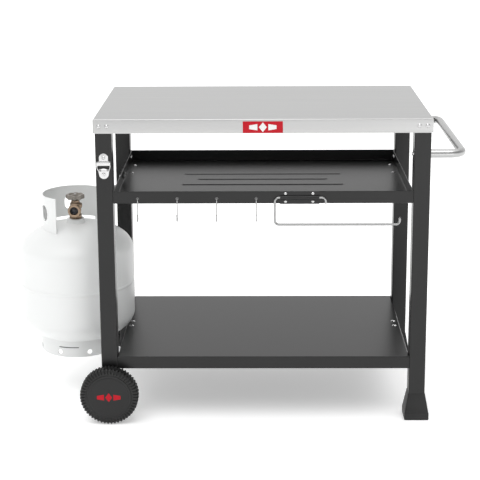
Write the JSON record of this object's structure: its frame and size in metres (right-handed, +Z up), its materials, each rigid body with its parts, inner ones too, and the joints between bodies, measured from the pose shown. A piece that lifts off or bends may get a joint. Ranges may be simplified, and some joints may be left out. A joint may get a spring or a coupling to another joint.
{
  "type": "outdoor prep cart",
  "caption": "Wheeled outdoor prep cart: stainless worktop on square legs, walled tray, lower shelf, push handle, tool hooks, towel bar, and a gas cylinder hung on one side.",
  "frame": {"origin": "on the floor under the middle of the whole assembly's box, hung cylinder included", "axes": "+Z up, the front with hooks and towel bar faces -Y, the push handle is at +X and the cylinder at -X"},
  "size_m": [1.1817, 0.5948, 0.8],
  "materials": {
    "worktop_steel": "brushed along the width",
    "handle_steel": "satin",
    "bright_steel": "polished",
    "bare_steel": "zinc plated",
    "charcoal_coat": "satin powder coat",
    "black_plastic": "moulded, fine texture",
    "tyre_rubber": "matte",
    "bush_plastic": "plain",
    "badge_red": "gloss enamel",
    "cylinder_paint": "semi-gloss paint",
    "valve_brass": "dull",
    "handwheel_grey": "cast look"
  },
  "bodies": {
    "frame": {"worktop": "worktop_steel", "worktop_ribs": "bare_steel", "apron_screws": "bright_steel", "apron_nuts": "bare_steel", "name_badge": "badge_red", "leg_front_left": "charcoal_coat", "leg_front_right": "charcoal_coat", "leg_rear_left": "charcoal_coat", "leg_rear_right": "charcoal_coat", "leg_top_plugs": "black_plastic", "leg_end_plugs": "black_plastic", "boot_front_right": "black_plastic", "boot_rear_right": "black_plastic", "utility_tray": "charcoal_coat", "tray_bolts": "bright_steel", "tray_nuts": "bare_steel", "tray_side_bars": "bare_steel", "tray_floor_screws": "bright_steel", "tray_floor_nuts": "bare_steel", "lower_shelf": "charcoal_coat", "shelf_bolts": "bright_steel", "shelf_nuts": "bare_steel", "shelf_side_bars": "bare_steel", "shelf_floor_screws": "bright_steel", "shelf_floor_nuts": "bare_steel", "handle_tube": "handle_steel", "handle_plugs": "bare_steel", "handle_bolts": "bright_steel", "axle_rod": "bare_steel", "axle_washers": "bare_steel", "axle_nuts": "bare_steel", "bottle_opener": "bright_steel", "opener_screws": "bright_steel", "bar_bracket": "charcoal_coat", "bracket_screws": "bright_steel", "bracket_nuts": "bare_steel", "cylinder_hook": "charcoal_coat", "cylinder_hook_screws": "bright_steel", "cylinder_hook_nuts": "bare_steel"},
    "towel_bar": {"towel_bar": "bright_steel"},
    "hook_1": {"hook_1": "bright_steel"},
    "hook_2": {"hook_2": "bright_steel"},
    "hook_3": {"hook_3": "bright_steel"},
    "hook_4": {"hook_4": "bright_steel"},
    "wheel_front": {"wheel_front_tyre": "tyre_rubber", "wheel_front_hub": "black_plastic", "wheel_front_bush": "bush_plastic", "wheel_front_cap": "black_plastic"},
    "wheel_rear": {"wheel_rear_tyre": "tyre_rubber", "wheel_rear_hub": "black_plastic", "wheel_rear_bush": "bush_plastic", "wheel_rear_cap": "black_plastic"},
    "cylinder": {"cylinder_shell": "cylinder_paint", "cylinder_neck": "cylinder_paint", "cylinder_collar": "cylinder_paint", "cylinder_foot_ring": "cylinder_paint", "valve_body": "valve_brass", "dip_tube": "bare_steel"},
    "handwheel": {"valve_stem": "bare_steel", "handwheel": "handwheel_grey"}
  },
  "joints": [
    {"name": "towel_bar_swing", "type": "hinge", "parent": "frame", "child": "towel_bar", "pos_m": [0.1679, -0.2583, 0.598], "axis": [-1, 0, 0], "range_deg": [0, 170]},
    {"name": "hook_1_swing", "type": "hinge", "parent": "frame", "child": "hook_1", "pos_m": [-0.2411, -0.253, 0.5898], "axis": [-1, 0, 0], "range_deg": [0, 25]},
    {"name": "hook_2_swing", "type": "hinge", "parent": "frame", "child": "hook_2", "pos_m": [-0.1411, -0.253, 0.5898], "axis": [-1, 0, 0], "range_deg": [0, 25]},
    {"name": "hook_3_swing", "type": "hinge", "parent": "frame", "child": "hook_3", "pos_m": [-0.0411, -0.253, 0.5898], "axis": [-1, 0, 0], "range_deg": [0, 25]},
    {"name": "hook_4_swing", "type": "hinge", "parent": "frame", "child": "hook_4", "pos_m": [0.0589, -0.253, 0.5898], "axis": [-1, 0, 0], "range_deg": [0, 25]},
    {"name": "wheel_front_roll", "type": "hinge", "parent": "frame", "child": "wheel_front", "pos_m": [-0.3241, -0.275, 0.076], "axis": [0, 1, 0], "continuous": true},
    {"name": "wheel_rear_roll", "type": "hinge", "parent": "frame", "child": "wheel_rear", "pos_m": [-0.3241, 0.275, 0.076], "axis": [0, 1, 0], "continuous": true},
    {"name": "cylinder_lift_off", "type": "slide", "parent": "frame", "child": "cylinder", "axis": [-0.7071, 0, 0.7071], "range_m": [0, 0.25]},
    {"name": "valve_turn", "type": "hinge", "parent": "cylinder", "child": "handwheel", "pos_m": [-0.4351, 0, 0.54], "axis": [0, 0, 1], "range_deg": [0, 720]}
  ]
}
